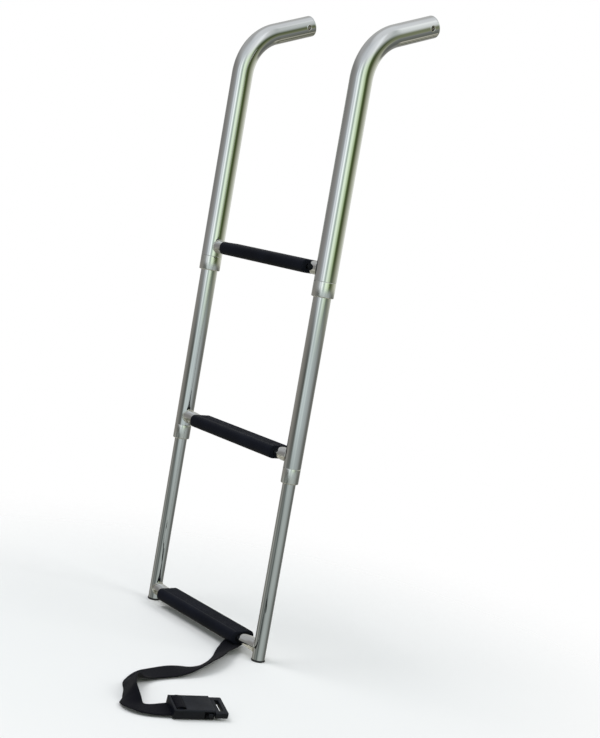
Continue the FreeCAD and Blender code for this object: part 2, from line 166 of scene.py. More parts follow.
def add_backdrop():
    """A pale dome that only the camera sees, so the steel mirrors the studio and not the dome."""
    mesh = bpy.data.meshes.new("backdrop")
    bm = bmesh.new()
    bmesh.ops.create_uvsphere(bm, u_segments=48, v_segments=24, radius=9.0)
    bmesh.ops.reverse_faces(bm, faces=bm.faces)
    bm.to_mesh(mesh)
    bm.free()
    dome = new_object("backdrop", mesh, emission_material("backdrop_white", (1, 1, 1), 1.0))
    dome.visible_diffuse = False
    dome.visible_glossy = False
    dome.visible_transmission = False
    dome.visible_shadow = False


FLOOR_RADIUS = 2.2
FLOOR_MIDDLE = (0.1, RAIL_Y - 0.1)
FLOOR_DROP = 0.2 * MM
FADE_START = 0.25
FADE_END = 0.95


def add_floor():
    """A pale floor disc that fades into the backdrop away from the ladder."""
    mesh = bpy.data.meshes.new("floor")
    bm = bmesh.new()
    bmesh.ops.create_circle(bm, cap_ends=True, segments=96, radius=FLOOR_RADIUS)
    bmesh.ops.translate(bm, verts=bm.verts, vec=(*FLOOR_MIDDLE, FLOOR_Z - FLOOR_DROP))
    bm.to_mesh(mesh)
    bm.free()
    material = bpy.data.materials.new("floor_pale")
    nodes, links = nodes_of(material)
    matte = nodes.new("ShaderNodeBsdfPrincipled")
    matte.inputs["Base Color"].default_value = (0.93, 0.93, 0.93, 1)
    matte.inputs["Roughness"].default_value = 0.85
    clear = nodes.new("ShaderNodeBsdfTransparent")
    place = nodes.new("ShaderNodeTexCoord")
    offset = nodes.new("ShaderNodeVectorMath")
    offset.operation = "SUBTRACT"
    offset.inputs[1].default_value = (*FLOOR_MIDDLE, FLOOR_Z)
    length = nodes.new("ShaderNodeVectorMath")
    length.operation = "LENGTH"
    fade = nodes.new("ShaderNodeMapRange")
    fade.interpolation_type = "SMOOTHSTEP"
    fade.inputs["From Min"].default_value = FADE_START
    fade.inputs["From Max"].default_value = FADE_END
    mix = nodes.new("ShaderNodeMixShader")
    out = nodes.new("ShaderNodeOutputMaterial")
    links.new(place.outputs["Object"], offset.inputs[0])
    links.new(offset.outputs[0], length.inputs[0])
    links.new(length.outputs["Value"], fade.inputs["Value"])
    links.new(fade.outputs[0], mix.inputs[0])
    links.new(matte.outputs[0], mix.inputs[1])
    links.new(clear.outputs[0], mix.inputs[2])
    links.new(mix.outputs[0], out.inputs["Surface"])
    floor = new_object("floor", mesh, material)
    floor.visible_glossy = False


# What the polished steel mirrors, in degrees round from the way back to the camera, to its right.
# One ring of upright bands for each of three heights: level, a little down, and further down.
LEVEL_RING = [
    (-180, (0.55, 0.55, 0.52)), (-150, (0.30, 0.30, 0.29)), (-125, (0.23, 0.23, 0.225)),
    (-92, (0.27, 0.265, 0.26)), (-70, (0.32, 0.33, 0.33)), (-53, (0.42, 0.45, 0.48)),
    (-45, (0.78, 0.83, 0.87)), (-35, (0.70, 0.76, 0.80)), (-20, (1.15, 1.25, 1.25)),
    (-9, (0.60, 0.70, 0.66)), (0, (0.40, 0.50, 0.43)), (8, (0.85, 1.00, 0.84)),
    (18, (0.92, 1.08, 0.84)), (31, (0.66, 0.80, 0.58)), (41, (0.50, 0.62, 0.40)),
    (48, (0.22, 0.30, 0.14)), (55, (0.07, 0.10, 0.035)), (68, (0.065, 0.085, 0.035)),
    (80, (0.19, 0.21, 0.13)), (96, (0.36, 0.38, 0.29)), (118, (0.52, 0.54, 0.45)),
    (142, (0.78, 0.80, 0.72)), (180, (0.55, 0.55, 0.52)),
]
MIDDLE_RING = [
    (-180, (0.34, 0.34, 0.32)), (-140, (0.30, 0.29, 0.27)), (-110, (0.26, 0.25, 0.23)),
    (-81, (0.20, 0.20, 0.185)), (-60, (0.13, 0.13, 0.12)), (-45, (0.085, 0.092, 0.085)),
    (-35, (0.32, 0.36, 0.35)), (-22, (0.66, 0.74, 0.75)), (-8, (0.56, 0.64, 0.65)),
    (8, (0.62, 0.70, 0.70)), (24, (0.46, 0.52, 0.53)), (60, (0.38, 0.42, 0.42)),
    (87, (0.22, 0.23, 0.225)), (108, (0.14, 0.145, 0.135)), (140, (0.22, 0.22, 0.20)),
    (180, (0.34, 0.34, 0.32)),
]
LOW_RING = [
    (-180, (0.30, 0.30, 0.29)), (-120, (0.22, 0.22, 0.20)), (-95, (0.36, 0.37, 0.35)),
    (-76, (0.16, 0.17, 0.16)), (-50, (0.22, 0.24, 0.23)), (-29, (0.11, 0.125, 0.12)),
    (-10, (0.34, 0.38, 0.37)), (8, (0.42, 0.46, 0.45)), (42, (0.41, 0.46, 0.45)),
    (64, (0.33, 0.36, 0.35)), (96, (0.16, 0.17, 0.16)), (116, (0.13, 0.14, 0.13)),
    (150, (0.26, 0.26, 0.25)), (180, (0.30, 0.30, 0.29)),
]
SKY_RING = [
    (-180, (0.50, 0.51, 0.51)), (-95, (0.42, 0.43, 0.44)), (-35, (0.62, 0.66, 0.70)),
    (10, (0.80, 0.84, 0.88)), (36, (0.98, 1.02, 1.06)), (52, (0.66, 0.69, 0.70)),
    (66, (0.52, 0.56, 0.56)), (84, (0.98, 1.02, 1.03)),
    (108, (0.80, 0.82, 0.82)), (145, (0.52, 0.53, 0.53)), (180, (0.50, 0.51, 0.51)),
]
ZENITH = (0.72, 0.75, 0.78)
GROUND_DARK = (0.10, 0.11, 0.075)
GROUND_PALE = (0.62, 0.60, 0.52)


class World:
    """The studio's world nodes, with short helpers."""

    def __init__(self):
        world = bpy.data.worlds.new("studio")
        bpy.context.scene.world = world
        world.use_nodes = True
        self.nodes, self.links = world.node_tree.nodes, world.node_tree.links
        self.nodes.clear()

    def add(self, kind, **settings):
        node = self.nodes.new(kind)
        for name, value in settings.items():
            setattr(node, name, value)
        return node

    def ring(self, share, bands):
        ramp = self.add("ShaderNodeValToRGB")
        ramp.color_ramp.interpolation = "EASE"
        stops = ramp.color_ramp.elements
        stops.remove(stops[-1])
        for i, (turn, colour) in enumerate(bands):
            stop = stops[0] if i == 0 else stops.new(0.5 + turn / 360)
            stop.color = (*colour, 1)
        self.links.new(share, ramp.inputs[0])
        return ramp.outputs["Color"]

    def step(self, value, start, end):
        step = self.add("ShaderNodeMapRange", interpolation_type="SMOOTHSTEP")
        step.inputs["From Min"].default_value = start
        step.inputs["From Max"].default_value = end
        self.links.new(value, step.inputs["Value"])
        return step.outputs[0]

    def mix(self, factor, a, b):
        mix = self.add("ShaderNodeMix", data_type="RGBA")
        self.links.new(factor, mix.inputs["Factor"])
        for socket, colour in (("A", a), ("B", b)):
            if isinstance(colour, tuple):
                mix.inputs[socket].default_value = (*colour, 1)
            else:
                self.links.new(colour, mix.inputs[socket])
        return mix.outputs["Result"]


def add_world():
    """A soft studio of upright bands of light and shade, bright overhead and mottled below."""
    w = World()
    place = w.add("ShaderNodeTexCoord").outputs["Generated"]
    ripple = w.add("ShaderNodeTexNoise")
    ripple.inputs["Scale"].default_value = 3.5
    ripple.inputs["Detail"].default_value = 2.0
    w.links.new(place, ripple.inputs["Vector"])
    face = w.add("ShaderNodeVectorRotate", rotation_type="Z_AXIS")
    face.inputs["Angle"].default_value = math.pi / 2 - CAMERA_AZIMUTH
    w.links.new(place, face.inputs["Vector"])
    split = w.add("ShaderNodeSeparateXYZ")
    w.links.new(face.outputs[0], split.inputs[0])
    turn = w.add("ShaderNodeMath", operation="ARCTAN2")
    w.links.new(split.outputs["Y"], turn.inputs[0])
    w.links.new(split.outputs["X"], turn.inputs[1])
    share = w.add("ShaderNodeMapRange")
    share.inputs["From Min"].default_value = -math.pi
    share.inputs["From Max"].default_value = math.pi
    w.links.new(turn.outputs[0], share.inputs["Value"])
    wander = w.add("ShaderNodeMapRange")
    wander.inputs["To Min"].default_value = -0.012
    wander.inputs["To Max"].default_value = 0.012
    w.links.new(ripple.outputs[0], wander.inputs["Value"])
    bent = w.add("ShaderNodeMath", operation="ADD")
    w.links.new(share.outputs[0], bent.inputs[0])
    w.links.new(wander.outputs[0], bent.inputs[1])
    height = split.outputs["Z"]
    rings = [w.ring(bent.outputs[0], bands) for bands in (LEVEL_RING, MIDDLE_RING, LOW_RING)]
    around = w.mix(w.step(height, -0.02, -0.11), rings[0], rings[1])
    around = w.mix(w.step(height, -0.13, -0.23), around, rings[2])
    around = w.mix(w.step(height, 0.22, 0.62), around, w.ring(bent.outputs[0], SKY_RING))
    around = w.mix(w.step(height, 0.82, 0.97), around, ZENITH)
    mottle = w.add("ShaderNodeTexNoise")
    mottle.inputs["Scale"].default_value = 5.0
    mottle.inputs["Detail"].default_value = 3.0
    w.links.new(place, mottle.inputs["Vector"])
    ground = w.mix(w.step(mottle.outputs[0], 0.42, 0.62), GROUND_DARK, GROUND_PALE)
    around = w.mix(w.step(height, -0.28, -0.45), around, ground)
    back = w.add("ShaderNodeBackground")
    w.links.new(around, back.inputs["Color"])
    out = w.add("ShaderNodeOutputWorld")
    w.links.new(back.outputs[0], out.inputs["Surface"])


def add_lights():
    """Two soft area lights: a large key from the upper left and a fill from the right."""
    for name, place, size, power in (
        ("key_light", (-0.8, -1.6, 2.2), 1.8, 40),
        ("fill_light", (2.2, 1.2, 1.4), 1.4, 20),
    ):
        data = bpy.data.lights.new(name, "AREA")
        data.size = size
        data.energy = power
        light = bpy.data.objects.new(name, data)
        light.location = place
        aim = Vector((0, RAIL_Y, FLOOR_Z + AIM_HEIGHT)) - Vector(place)
        light.rotation_euler = aim.to_track_quat("-Z", "Y").to_euler()
        light.visible_glossy = False
        bpy.context.scene.collection.objects.link(light)


# ---------------------------------------------------------------- materials


class Shader:
    """A Principled material with short helpers for noise, ramps and bump."""

    def __init__(self, name):
        self.material = bpy.data.materials.new(name)
        self.nodes, self.links = nodes_of(self.material)
        self.surface = self.nodes.new("ShaderNodeBsdfPrincipled")
        out = self.nodes.new("ShaderNodeOutputMaterial")
        self.links.new(self.surface.outputs[0], out.inputs["Surface"])
        self.place = self.nodes.new("ShaderNodeTexCoord")

    def set(self, **values):
        for name, value in values.items():
            self.surface.inputs[name.replace("_", " ")].default_value = value
        return self

    def stretched(self, scale):
        mapping = self.nodes.new("ShaderNodeMapping")
        mapping.inputs["Scale"].default_value = scale
        self.links.new(self.place.outputs["Object"], mapping.inputs["Vector"])
        return mapping.outputs[0]

    def noise(self, scale, detail, vector=None):
        noise = self.nodes.new("ShaderNodeTexNoise")
        noise.inputs["Scale"].default_value = scale
        noise.inputs["Detail"].default_value = detail
        self.links.new(vector or self.place.outputs["Object"], noise.inputs["Vector"])
        return noise.outputs[0]

    def ramp(self, value, stops):
        ramp = self.nodes.new("ShaderNodeValToRGB")
        elements = ramp.color_ramp.elements
        for i, (where, colour) in enumerate(stops):
            element = elements[i] if i < 2 else elements.new(where)
            element.position = where
            element.color = (*colour, 1) if len(colour) == 3 else colour
        self.links.new(value, ramp.inputs[0])
        return ramp.outputs["Color"]

    def spread(self, value, low, high):
        """A 0 to 1 value mapped to low to high."""
        mapped = self.nodes.new("ShaderNodeMapRange")
        mapped.inputs["To Min"].default_value = low
        mapped.inputs["To Max"].default_value = high
        self.links.new(value, mapped.inputs["Value"])
        return mapped.outputs[0]

    def math(self, operation, a, b=None):
        node = self.nodes.new("ShaderNodeMath")
        node.operation = operation
        for socket, value in zip(node.inputs, (a, b)):
            if value is None:
                continue
            if isinstance(value, (int, float)):
                socket.default_value = value
            else:
                self.links.new(value, socket)
        return node.outputs[0]

    def bump(self, height, distance, strength):
        bump = self.nodes.new("ShaderNodeBump")
        bump.inputs["Distance"].default_value = distance
        bump.inputs["Strength"].default_value = strength
        self.links.new(height, bump.inputs["Height"])
        if self.surface.inputs["Normal"].is_linked:
            self.links.new(self.surface.inputs["Normal"].links[0].from_socket, bump.inputs["Normal"])
        self.links.new(bump.outputs[0], self.surface.inputs["Normal"])
        return self

    def feed(self, value, name):
        self.links.new(value, self.surface.inputs[name])
        return self


def polished_steel():
    """Mirror-polished stainless tube: faint draw lines along it, water haze and finger smudges."""
    s = Shader("polished_stainless").set(Metallic=1.0)
    haze = s.noise(9.0, 4.0)
    lines = s.noise(1.0, 2.0, s.stretched((900, 900, 6)))
    s.feed(s.ramp(haze, [(0.3, (0.72, 0.72, 0.71)), (0.7, (0.80, 0.80, 0.79))]), "Base Color")
    smudge = s.noise(38.0, 5.0)
    rough = s.math("ADD", s.spread(haze, 0.02, 0.05), s.spread(smudge, -0.01, 0.03))
    s.feed(rough, "Roughness")
    return s.bump(lines, 0.000006, 0.2).material


def weld_steel():
    s = Shader("weld_stainless").set(Metallic=1.0)
    tint = s.noise(160.0, 3.0)
    s.feed(s.ramp(tint, [(0.35, (0.50, 0.47, 0.42)), (0.65, (0.74, 0.73, 0.70))]), "Base Color")
    s.feed(s.spread(tint, 0.16, 0.34), "Roughness")
    return s.bump(s.noise(700.0, 2.0), 0.00012, 0.4).material


def cast_steel():
    """The collars' turned stainless: fine rings round the tube."""
    s = Shader("turned_stainless").set(Metallic=1.0)
    haze = s.noise(30.0, 3.0)
    s.feed(s.ramp(haze, [(0.3, (0.72, 0.71, 0.68)), (0.7, (0.83, 0.83, 0.80))]), "Base Color")
    s.feed(s.spread(haze, 0.08, 0.18), "Roughness")
    return s.bump(s.noise(1.0, 1.0, s.stretched((40, 40, 2600))), 0.00002, 0.3).material


def moulded_rubber():
    """Blue-black tread rubber with a fine grain and a cloudy, randomly varying tone."""
    s = Shader("tread_rubber")
    cloud = s.noise(22.0, 4.0)
    s.feed(s.ramp(cloud, [(0.3, (0.0022, 0.0030, 0.0068)), (0.7, (0.0050, 0.0064, 0.0130))]), "Base Color")
    s.feed(s.spread(s.noise(90.0, 4.0), 0.46, 0.66), "Roughness")
    s.surface.inputs["Specular IOR Level"].default_value = 0.14
    grain = s.noise(2600.0, 2.0)
    return s.bump(grain, 0.00010, 0.5).bump(s.noise(420.0, 2.0), 0.00012, 0.25).material


def foot_rubber():
    s = Shader("foot_rubber")
    cloud = s.noise(120.0, 3.0)
    s.feed(s.ramp(cloud, [(0.3, (0.012, 0.012, 0.013)), (0.7, (0.030, 0.030, 0.031))]), "Base Color")
    s.feed(s.spread(s.noise(200.0, 3.0), 0.5, 0.7), "Roughness")
    return s.bump(s.noise(1500.0, 2.0), 0.0001, 0.4).material


def nylon():
    s = Shader("nylon").set(Roughness=0.42)
    s.surface.inputs["Subsurface Weight"].default_value = 0.08
    s.feed(s.ramp(s.noise(60.0, 3.0), [(0.3, (0.70, 0.70, 0.66)), (0.7, (0.82, 0.82, 0.78))]), "Base Color")
    return s.bump(s.noise(900.0, 2.0), 0.00008, 0.3).material


def moulded_plastic():
    """Buckle plastic: near black, with a spark-eroded texture and a faintly mottled tone."""
    s = Shader("buckle_plastic")
    s.surface.inputs["Specular IOR Level"].default_value = 0.3
    cloud = s.noise(75.0, 4.0)
    s.feed(s.ramp(cloud, [(0.3, (0.0026, 0.0034, 0.0066)), (0.7, (0.0058, 0.0074, 0.0130))]), "Base Color")
    s.feed(s.spread(s.noise(240.0, 3.0), 0.34, 0.52), "Roughness")
    return s.bump(s.noise(3200.0, 2.0), 0.00009, 0.45).material


WEB_PITCH = 1.55 * MM


def webbing_fabric():
    """Flat woven webbing: warp ribs crossed by weft picks, from the strap's own UV in metres, with painted
    shade in the weave's grooves.
    """
    s = Shader("webbing")
    s.surface.inputs["Sheen Weight"].default_value = 0.02
    s.surface.inputs["Specular IOR Level"].default_value = 0.15
    s.surface.inputs["Sheen Roughness"].default_value = 0.5
    split = s.nodes.new("ShaderNodeSeparateXYZ")
    s.links.new(s.place.outputs["UV"], split.inputs[0])
    along = s.math("MULTIPLY", split.outputs["X"], 2 * math.pi / WEB_PITCH)
    across = s.math("MULTIPLY", split.outputs["Y"], 2 * math.pi / WEB_PITCH)
    warp = s.math("SINE", across)
    shift = s.math("MULTIPLY", s.math("SIGN", warp), math.pi / 2)
    weft = s.math("SINE", s.math("ADD", along, shift))
    weave = s.math("MULTIPLY", s.math("ABSOLUTE", warp), s.spread(weft, 0.45, 1.0))
    fuzz = s.noise(1400.0, 3.0)
    # Painted shade: the colour darkens where the weave dips, in the same pattern as its bump, mixed with a
    # random fuzz tone
    shade = s.math("ADD", s.math("MULTIPLY", weave, 0.6), s.math("MULTIPLY", fuzz, 0.4))
    s.feed(s.ramp(shade, [(0.15, (0.0012, 0.0013, 0.0030)), (0.8, (0.0048, 0.0048, 0.0100))]), "Base Color")
    s.feed(s.spread(fuzz, 0.62, 0.85), "Roughness")
    return s.bump(weave, 0.00035, 0.7).bump(fuzz, 0.0001, 0.3).material


STEEL = polished_steel()
WELD = weld_steel()
COLLAR_STEEL = cast_steel()
RUBBER = moulded_rubber()
FOOT = foot_rubber()
NYLON = nylon()
PLASTIC = moulded_plastic()
WEBBING = webbing_fabric()


# ---------------------------------------------------------------- mesh helpers

SMOOTH_ANGLE = math.radians(32)
TUBE_STEPS = 96
SMALL_STEPS = 64


def finish_mesh(name, bm, material, body, nodes, sharp=SMOOTH_ANGLE):
    """Turns a bmesh into a shaded piece that rides on a body and replaces CAD nodes."""
    bmesh.ops.recalc_face_normals(bm, faces=bm.faces)
    mesh = bpy.data.meshes.new(name)
    bm.to_mesh(mesh)
    bm.free()
    mesh.polygons.foreach_set("use_smooth", [True] * len(mesh.polygons))
    mesh.set_sharp_from_angle(angle=sharp)
    piece = new_object(name, mesh, material)
    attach(piece, body)
    if nodes:
        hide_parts(*nodes)
    return piece


def skin_rings(bm, rings, closed_loop=False):
    """Joins rings of points, all with the same count, into a skin with end faces or into a loop."""
    made = [[bm.verts.new(p) for p in ring] for ring in rings]
    count = len(made[0])
    pairs = list(zip(made, made[1:]))
    if closed_loop:
        pairs.append((made[-1], made[0]))
    for low, high in pairs:
        for i in range(count):
            j = (i + 1) % count
            bm.faces.new((low[i], low[j], high[j], high[i]))
    if not closed_loop:
        bm.faces.new(made[0])
        bm.faces.new(list(reversed(made[-1])))
    return made


def circle_points(centre, side, lift, radius, steps):
    """A circle in the plane of two unit directions."""
    points = []
    for i in range(steps):
        turn = 2 * math.pi * i / steps
        points.append(centre + side * (radius * math.cos(turn)) + lift * (radius * math.sin(turn)))
    return points


def lathe(bm, profile, x):
    """Revolves a closed outline of (radius, height) about a rail's upright axis."""
    rings = []
    for radius, z in profile:
        rings.append(circle_points(Vector((x, RAIL_Y, z)), ALONG_X, ALONG_Y, radius, TUBE_STEPS))
    skin_rings(bm, rings, closed_loop=True)


def side_x(side):
    return RAIL_X if side == "right" else -RAIL_X


# ---------------------------------------------------------------- steel


def rail_centreline():
    """Points and headings along the upper rail, at x = 0: upright, bend and arm."""
    low = UPPER_BOX[0].z
    stations = []
    upright_steps = 24
    for i in range(upright_steps):
        z = low + (BEND_START - low) * i / upright_steps
        stations.append((Vector((0, RAIL_Y, z)), UP.copy()))
    bend = math.pi / 2 - ARM_RISE
    bend_steps = 40
    for i in range(bend_steps + 1):
        turn = bend * i / bend_steps
        y = RAIL_Y + BEND_RADIUS * (1 - math.cos(turn))
        place = Vector((0, y, BEND_START + BEND_RADIUS * math.sin(turn)))
        stations.append((place, Vector((0, math.sin(turn), math.cos(turn)))))
    last, heading = stations[-1]
    arm_steps = 20
    for i in range(1, arm_steps + 1):
        stations.append((last + heading * (ARM_LENGTH - CAP_LENGTH) * i / arm_steps, heading))
    return stations


def arm_tip():
    """The middle of the arm's closed end at x = 0, and the way that the arm points."""
    place, heading = rail_centreline()[-1]
    return place + heading * CAP_LENGTH, heading


def cut_with(piece, cutter):
    """Takes a cutter's shape out of a piece and removes the cutter."""
    change = piece.modifiers.new("cut", "BOOLEAN")
    change.operation = "DIFFERENCE"
    change.solver = "EXACT"
    change.object = cutter
    graph = bpy.context.evaluated_depsgraph_get()
    cut = bpy.data.meshes.new_from_object(piece.evaluated_get(graph))
    piece.modifiers.clear()
    piece.data = cut
    cut.polygons.foreach_set("use_smooth", [True] * len(cut.polygons))
    cut.set_sharp_from_angle(angle=SMOOTH_ANGLE)
    bpy.data.objects.remove(cutter)


def rod_along_x(name, centre, radius, half):
    steps = 48
    bm = bmesh.new()
    rings = []
    for x in (-half, half):
        rings.append(circle_points(centre + Vector((x, 0, 0)), ALONG_Y, UP, radius, steps))
    skin_rings(bm, rings)
    bmesh.ops.recalc_face_normals(bm, faces=bm.faces)
    mesh = bpy.data.meshes.new(name)
    bm.to_mesh(mesh)
    bm.free()
    return new_object(name, mesh)


def make_upper_rail(side):
    """The bent tube, with its hinge hole cut through the arm."""
    x = side_x(side)
    bm = bmesh.new()
    steps = TUBE_STEPS
    shift = Vector((x, 0, 0))
    stations = rail_centreline()
    across = ALONG_X
    inner = [circle_points(p + shift, across, h.cross(across), UPPER_R - WALL, steps) for p, h in stations]
    first = stations[0][0]
    stations = [(first, UP), (first + UP * TUBE_EDGE, UP)] + stations[1:]
    radii = [UPPER_R - TUBE_EDGE] + [UPPER_R] * (len(stations) - 1)
    outer = []
    for (place, heading), radius in zip(stations, radii):
        outer.append(circle_points(place + shift, across, heading.cross(across), radius, steps))
    skin_rings(bm, outer + inner[::-1], closed_loop=True)
    node = "upper_rail_" + side
    rail = finish_mesh("upper_tube_" + side, bm, STEEL, "upper_section", [node])
    tip, heading = arm_tip()
    hinge = tip - heading * HINGE_FROM_TIP + shift
    cutter_half = 0.03
    cut_with(rail, rod_along_x("cutter", hinge, HINGE_BUSH_R, cutter_half))


def make_tip_cap(side):
    """The welded end cap, with a soft rounded rim and a fine seam where it meets the tube."""
    tip, heading = arm_tip()
    centre = tip + Vector((side_x(side), 0, 0))
    edge = 1.6 * MM
    seam = 0.7 * MM
    outline = [
        (UPPER_R - WALL, CAP_LENGTH + 4 * MM),
        (UPPER_R - WALL, CAP_LENGTH - seam / 2),
        (UPPER_R - seam / 3, CAP_LENGTH - seam / 2),
        (UPPER_R, CAP_LENGTH - seam),
    ]
    corner_steps = 7
    for i in range(corner_steps + 1):
        turn = math.pi / 2 * i / corner_steps
        outline.append((UPPER_R - edge + edge * math.cos(turn), edge - edge * math.sin(turn)))
    dish_steps = 6
    for i in range(1, dish_steps):
        outline.append(((UPPER_R - edge) * (1 - i / dish_steps), 0.0))
    bm = bmesh.new()
    lift = heading.cross(ALONG_X)
    rings = []
    for radius, back in outline:
        rings.append(circle_points(centre - heading * back, ALONG_X, lift, radius, TUBE_STEPS))
    skin_rings(bm, rings)
    finish_mesh("tip_plug_" + side, bm, STEEL, "upper_section", ["tip_cap_" + side])


def make_hinge_bush(side):
    """The bush through the arm's tip that takes the hinge bolt."""
    tip, heading = arm_tip()
    centre = tip - heading * HINGE_FROM_TIP + Vector((side_x(side), 0, 0))
    edge = 0.5 * MM
    outline = []
    for sign in (-1, 1):
        face = sign * HINGE_BUSH_HALF
        ends = [
            (HINGE_BORE_R, face - sign * edge), (HINGE_BORE_R + edge, face),
            (HINGE_BUSH_R - edge, face), (HINGE_BUSH_R, face - sign * edge),
        ]
        outline += ends if sign < 0 else ends[::-1]
    bm = bmesh.new()
    rings = []
    for radius, x in outline:
        rings.append(circle_points(centre + Vector((x, 0, 0)), ALONG_Y, UP, radius, SMALL_STEPS))
    skin_rings(bm, rings, closed_loop=True)
    node = "hinge_bush_" + side
    finish_mesh("hinge_sleeve_" + side, bm, COLLAR_STEEL, "upper_section", [node])


def make_straight_rail(side, radius, node, name, body):
    low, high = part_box(node)
    bm = bmesh.new()
    levels = 12
    inner = [(radius - WALL, high.z - (high.z - low.z) * i / levels) for i in range(levels + 1)]
    outer = [(radius - TUBE_EDGE, low.z), (radius, low.z + TUBE_EDGE)]
    outer += [(radius, z) for _, z in inner[-2::-1]]
    lathe(bm, outer + inner, side_x(side))
    finish_mesh(name, bm, STEEL, body, [node])


def rounded_corner(centre, radius, start_deg, end_deg):
    """Points round a corner, as (radius, height) pairs."""
    steps = 6
    points = []
    for i in range(steps + 1):
        turn = math.radians(start_deg + (end_deg - start_deg) * i / steps)
        points.append((centre[0] + radius * math.cos(turn), centre[1] + radius * math.sin(turn)))
    return points


def make_collar(side, tube_r, slider_r, node, name, body):
    """A turned ring flush with its tube: soft edges, an inturned lip below and a seam above."""
    low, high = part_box(node)
    bore = slider_r + 0.6 * MM
    lip = 2 * MM
    foot = 1.3 * MM
    brow = 0.75 * MM
    chamfer = 0.4 * MM
    outline = [(tube_r - WALL, low.z + lip), (bore, low.z + lip)]
    outline += [(bore, low.z + chamfer), (bore + chamfer, low.z)]
    outline += rounded_corner((tube_r - foot, low.z + foot), foot, -90, 0)
    outline += rounded_corner((tube_r - brow, high.z - brow), brow, 0, 90)
    outline.append((tube_r - WALL, high.z))
    bm = bmesh.new()
    lathe(bm, outline, side_x(side))
    finish_mesh(name, bm, COLLAR_STEEL, body, [node])


def make_rivets(node, name, body):
    """One domed rivet on the back of each collar."""
    low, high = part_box(node)
    head_r = 3.2 * MM
    head_height = 1.4 * MM
    brim = 0.3 * MM
    steps = 40
    face_y = high.y - head_height
    z = (low.z + high.z) / 2
    bm = bmesh.new()
    for side in SIDES:
        centre = Vector((side_x(side), face_y - brim, z))
        outline = [(head_r, 0.0), (head_r, brim)]
        dome_steps = 8
        for i in range(1, dome_steps):
            turn = math.pi / 2 * i / dome_steps
            outline.append((head_r * math.cos(turn), brim + head_height * math.sin(turn)))
        rings = []
        for radius, out in outline:
            rings.append(circle_points(centre + Vector((0, out, 0)), ALONG_X, UP, radius, steps))
        skin_rings(bm, rings)
    finish_mesh(name, bm, COLLAR_STEEL, body, [node])


RUNG_END_INSET = 0.5 * MM


def rung_end_depth(rail_r):
    """Half the depth of a rung's end, which keeps a little inside its rail's width."""
    return min(RUNG_R, rail_r - RUNG_END_INSET)


def oval_points(x, half_depth, half_height, z, steps):
    points = []
    for i in range(steps):
        turn = 2 * math.pi * i / steps
        points.append(Vector((x, RAIL_Y + half_depth * math.cos(turn), z + half_height * math.sin(turn))))
    return points


def ease(t):
    t = max(0.0, min(1.0, t))
    return t * t * (3 - 2 * t)


def rung_section(x, rail_r, left, right):
    """Half depth and half height of a rung at x: round by the rails and flattened under the cover."""
    end_depth = rung_end_depth(rail_r)
    inside_rail = 1.0 * MM
    shoulder = RAIL_X - rail_r + inside_rail
    tuck = 2 * MM
    if x < 0:
        share = ease((x + shoulder) / (left + tuck + shoulder))
    else:
        share = ease((shoulder - x) / (shoulder - right + tuck))
    depth = end_depth + (FLAT_HALF_DEPTH - end_depth) * share
    height = RUNG_R + (FLAT_HALF_HEIGHT - RUNG_R) * share
    return depth, height


def make_rung(level, rail_r, body):
    """The rung tube: its round ends are pressed flat towards the cover, and saddle the rails."""
    cover_low, cover_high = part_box(level + "_tread_cover")
    z = (cover_low.z + cover_high.z) / 2
    steps = 72
    stations = 64
    sink = 0.3 * MM
    bm = bmesh.new()
    rings = []
    for i in range(stations + 1):
        share = i / stations
        x = -RAIL_X + 2 * RAIL_X * share
        ring = []
        for p in oval_points(x, *rung_section(x, rail_r, cover_low.x, cover_high.x), z, steps):
            reach = math.sqrt(max(rail_r ** 2 - (p.y - RAIL_Y) ** 2, 0.0))
            limit = RAIL_X - reach + sink
            p.x = -limit + 2 * limit * share
            ring.append(p)
        rings.append(ring)
    skin_rings(bm, rings)
    finish_mesh(level + "_rung", bm, STEEL, body, [level + "_rung_tube"], math.radians(60))


def make_welds(level, rail_r, body):
    """Rippled weld beads that follow the saddle line round each rung end."""
    cover_low, cover_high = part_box(level + "_tread_cover")
    z = (cover_low.z + cover_high.z) / 2
    end_depth = rung_end_depth(rail_r)
    bead = 1.15 * MM
    stand_off = 0.25 * MM
    ripples = 34
    ripple_share = 0.10
    steps = 272
    around = 12
    bm = bmesh.new()
    for sign in (-1, 1):
        rings = []
        for i in range(steps):
            turn = 2 * math.pi * i / steps
            out = Vector((0, math.cos(turn), math.sin(turn)))
            y = end_depth * math.cos(turn)
            reach = math.sqrt(max(rail_r ** 2 - y ** 2, 0.0))
            centre = Vector((sign * (RAIL_X - reach - stand_off), RAIL_Y + y, z + RUNG_R * math.sin(turn)))
            radius = bead * (1 + ripple_share * abs(math.sin(ripples * turn / 2)))
            rings.append(circle_points(centre, Vector((sign, 0, 0)), out, radius, around))
        skin_rings(bm, rings, closed_loop=True)
    finish_mesh(level + "_welds", bm, WELD, body, [level + "_rung_welds"], math.radians(70))


# ---------------------------------------------------------------- rubber


COVER_CORNER = 8 * MM
COVER_END_EDGE = 1.4 * MM
COVER_END_INSET = 0.4 * MM
COVER_FIT = 0.3 * MM
COVER_SHARP = math.radians(50)
RIB_PITCH = 2.5 * MM
RIB_HEIGHT = 0.55 * MM
RIBBED_HALF = 13.0 * MM


